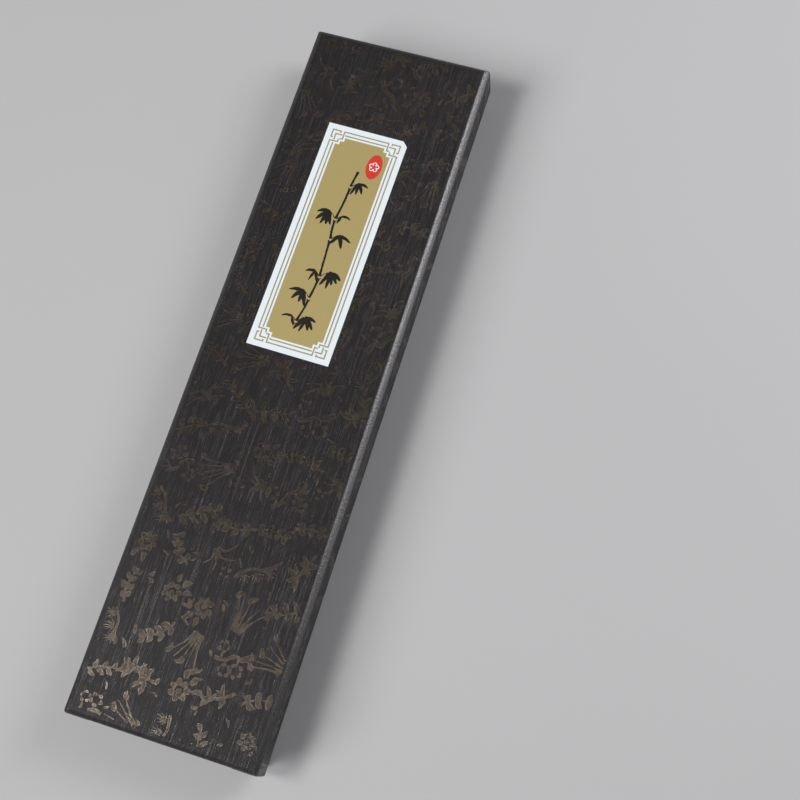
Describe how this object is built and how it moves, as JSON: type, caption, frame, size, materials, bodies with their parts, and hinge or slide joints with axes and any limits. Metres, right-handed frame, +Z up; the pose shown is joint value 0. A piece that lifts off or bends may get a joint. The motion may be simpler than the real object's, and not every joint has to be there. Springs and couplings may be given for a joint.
{
  "type": "boxed pair of calligraphy brushes",
  "caption": "Paper-wrapped presentation box: a lift-off lid over a deeper tray with a satin-covered foam bed, grooved to hold capped calligraphy brushes.",
  "frame": {"origin": "centre of the box's underside, on the surface that it stands on", "axes": "+Z up through the lid, +Y along the box towards the brushes' tails and the label's top, +X across it"},
  "size_m": [0.085, 0.33, 0.0296],
  "materials": {
    "wrapping_paper": "satin",
    "plain_dark_paper": "matte",
    "grey_board": "matte",
    "stay_tape": "matte",
    "lining_paper": "matte",
    "label_paper": "satin",
    "foam": "matte",
    "satin": "satin",
    "horn": "polished",
    "bone": "satin",
    "rosewood": "satin",
    "rosin": "gloss",
    "hair": "satin",
    "thread": "matte",
    "clear_plastic": "gloss"
  },
  "bodies": {
    "tray": {"tray_bottom_board": "grey_board", "tray_near_board": "grey_board", "tray_far_board": "grey_board", "tray_left_board": "grey_board", "tray_right_board": "grey_board", "tray_wrap": "wrapping_paper", "tray_corner_stays": "stay_tape", "tray_lining": "lining_paper", "tray_bottom_sheet": "plain_dark_paper", "bed_card": "grey_board", "foam_pad": "foam", "satin_cover": "satin"},
    "lid": {"lid_top_board": "grey_board", "lid_near_board": "grey_board", "lid_far_board": "grey_board", "lid_left_board": "grey_board", "lid_right_board": "grey_board", "lid_wrap": "wrapping_paper", "lid_corner_stays": "stay_tape", "lid_liner": "lining_paper", "label": "label_paper"},
    "large_brush": {"large_finial": "horn", "large_tail_ring": "bone", "large_handle": "rosewood", "large_neck_ring": "bone", "large_ferrule": "horn", "large_rosin_plug": "rosin", "large_hair_core": "hair", "large_hair_cover": "hair", "large_root_thread": "thread"},
    "large_brush_cap": {"large_cap": "clear_plastic"},
    "small_brush": {"small_finial": "horn", "small_tail_ring": "bone", "small_handle": "rosewood", "small_neck_ring": "bone", "small_ferrule": "horn", "small_rosin_plug": "rosin", "small_hair_core": "hair", "small_hair_cover": "hair", "small_root_thread": "thread"},
    "small_brush_cap": {"small_cap": "clear_plastic"}
  },
  "joints": [
    {"name": "lid_lift", "type": "slide", "parent": "tray", "child": "lid", "axis": [0, 0, 1], "range_m": [0, 0.14]},
    {"name": "large_brush_lift", "type": "slide", "parent": "tray", "child": "large_brush", "axis": [0, 0, 1], "range_m": [0, 0.07]},
    {"name": "small_brush_lift", "type": "slide", "parent": "tray", "child": "small_brush", "axis": [0, 0, 1], "range_m": [0, 0.049]},
    {"name": "large_cap_pull", "type": "slide", "parent": "large_brush", "child": "large_brush_cap", "axis": [0, -1, 0], "range_m": [0, 0.052]},
    {"name": "small_cap_pull", "type": "slide", "parent": "small_brush", "child": "small_brush_cap", "axis": [0, -1, 0], "range_m": [0, 0.037]}
  ],
  "couplings": [
    {"joint": "large_brush_lift", "follows": "lid_lift", "ratio": 0.5},
    {"joint": "small_brush_lift", "follows": "lid_lift", "ratio": 0.35}
  ]
}
